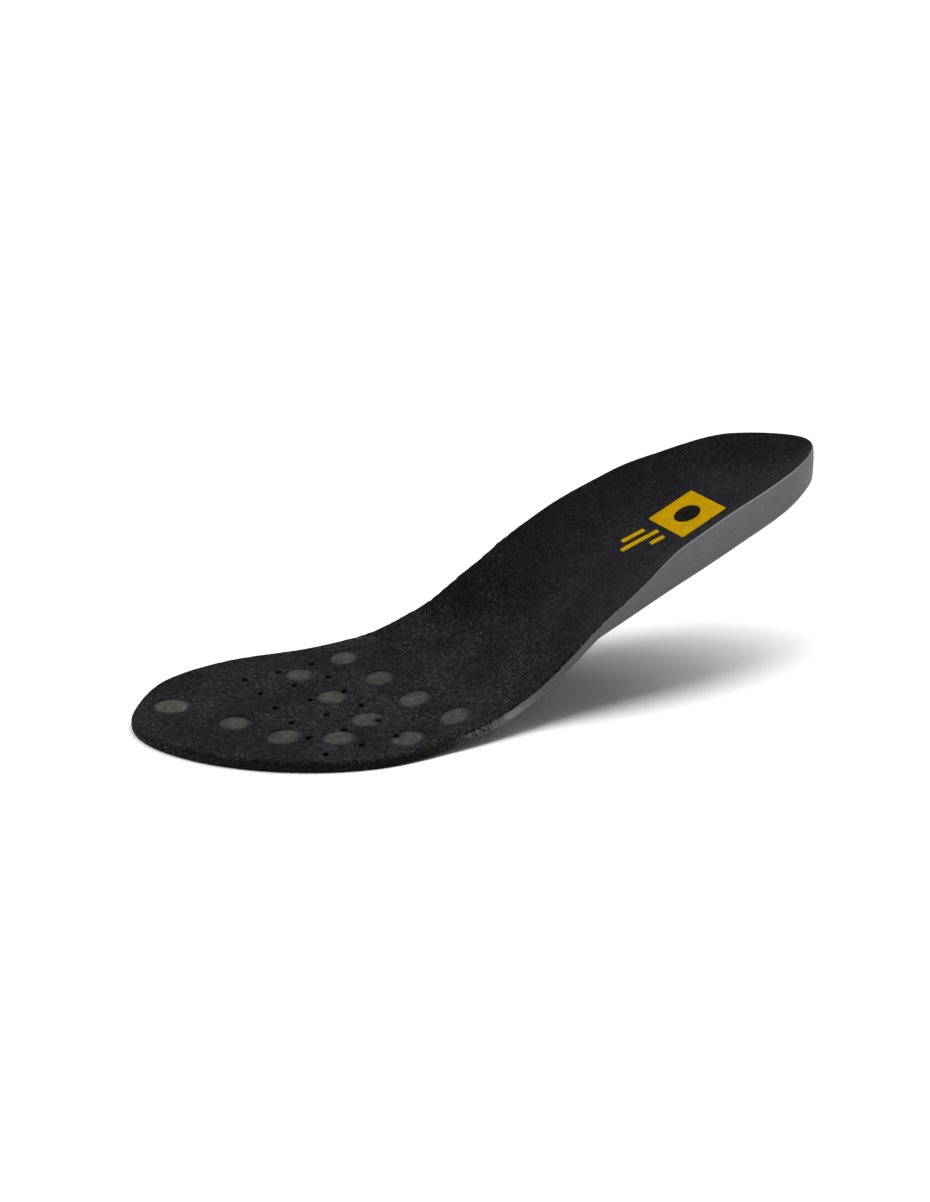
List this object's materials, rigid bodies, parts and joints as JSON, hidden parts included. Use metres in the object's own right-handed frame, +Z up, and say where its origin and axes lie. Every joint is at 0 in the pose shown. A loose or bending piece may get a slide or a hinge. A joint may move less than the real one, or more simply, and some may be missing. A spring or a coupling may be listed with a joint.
{
  "type": "cushioned insole",
  "caption": "Left cushioned shoe insole with a soft cover over a thin forefoot and a moulded heel and arch cushion, ventilated at the ball, flexing at the toe joint line.",
  "frame": {"origin": "on the flat underside of the forefoot, on the insole's length axis, 50 mm behind the toe tip", "axes": "+X from the toe towards the heel along the length, +Y towards the big-toe (medial) side, +Z up from the surface that the forefoot lies on"},
  "size_m": [0.2541, 0.0967, 0.0849],
  "materials": {
    "cover": "matte brushed microfibre",
    "dark_foam": "rough cut foam edge",
    "grey_foam": "smooth matte moulded skin",
    "disc": "matte, slightly mottled",
    "yellow_print": "matte transfer print",
    "black_print": "matte transfer print"
  },
  "bodies": {
    "forefoot": {"forefoot_foam": "dark_foam", "cushion_disc_01": "disc", "cushion_disc_02": "disc", "cushion_disc_03": "disc", "cushion_disc_04": "disc", "cushion_disc_05": "disc", "cushion_disc_06": "disc", "cushion_disc_07": "disc", "cushion_disc_08": "disc", "cushion_disc_09": "disc", "cushion_disc_10": "disc", "cushion_disc_11": "disc", "cushion_disc_12": "disc"},
    "rearfoot": {"heel_arch_cushion": "grey_foam", "top_cover": "cover", "label_patch": "yellow_print", "label_emblem": "black_print", "label_bar_1": "yellow_print", "label_bar_2": "yellow_print", "label_bar_3": "yellow_print"}
  },
  "joints": [
    {"name": "ball_flex", "type": "hinge", "parent": "forefoot", "child": "rearfoot", "pos_m": [0.06013, -0.00188, 0.00757], "axis": [0.1547, -0.988, 0], "range_deg": [-26.5, 25], "stiffness_Nm_per_rad": 1, "deforming": ["top_cover"]}
  ]
}
